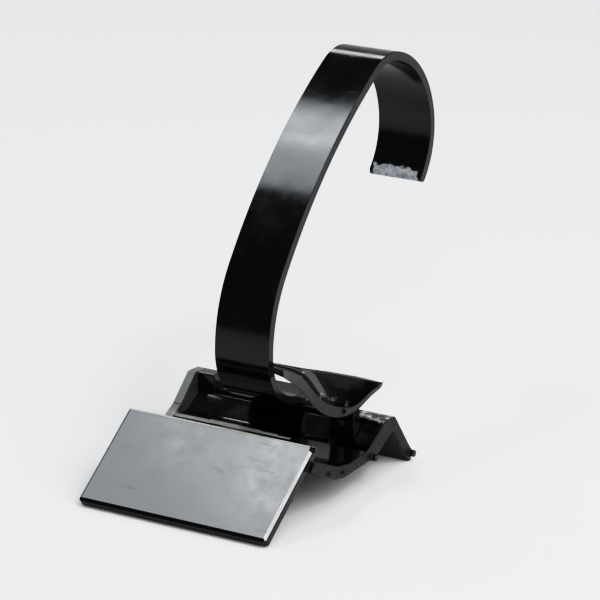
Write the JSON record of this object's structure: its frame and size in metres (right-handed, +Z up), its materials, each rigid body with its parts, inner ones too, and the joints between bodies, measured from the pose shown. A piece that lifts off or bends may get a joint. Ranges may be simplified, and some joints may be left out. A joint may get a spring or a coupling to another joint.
{
  "type": "watch display stand",
  "caption": "Small glossy moulded stand: sloped tag plate on a folded trough foot, with an open C ring on a dished side arm plugged into the foot.",
  "frame": {"origin": "centre of the bounding box in plan, on the table", "axes": "+Z up; -Y towards the front, where the tag plate faces; +X to the right seen from the front, where the side arm reaches"},
  "size_m": [0.0444, 0.0952, 0.0727],
  "materials": {
    "base": "glossy injection-moulded black polystyrene",
    "ring_clip": "glossy injection-moulded black polystyrene"
  },
  "bodies": {
    "root": {"base": "base", "ring_clip": "ring_clip"}
  },
  "joints": []
}
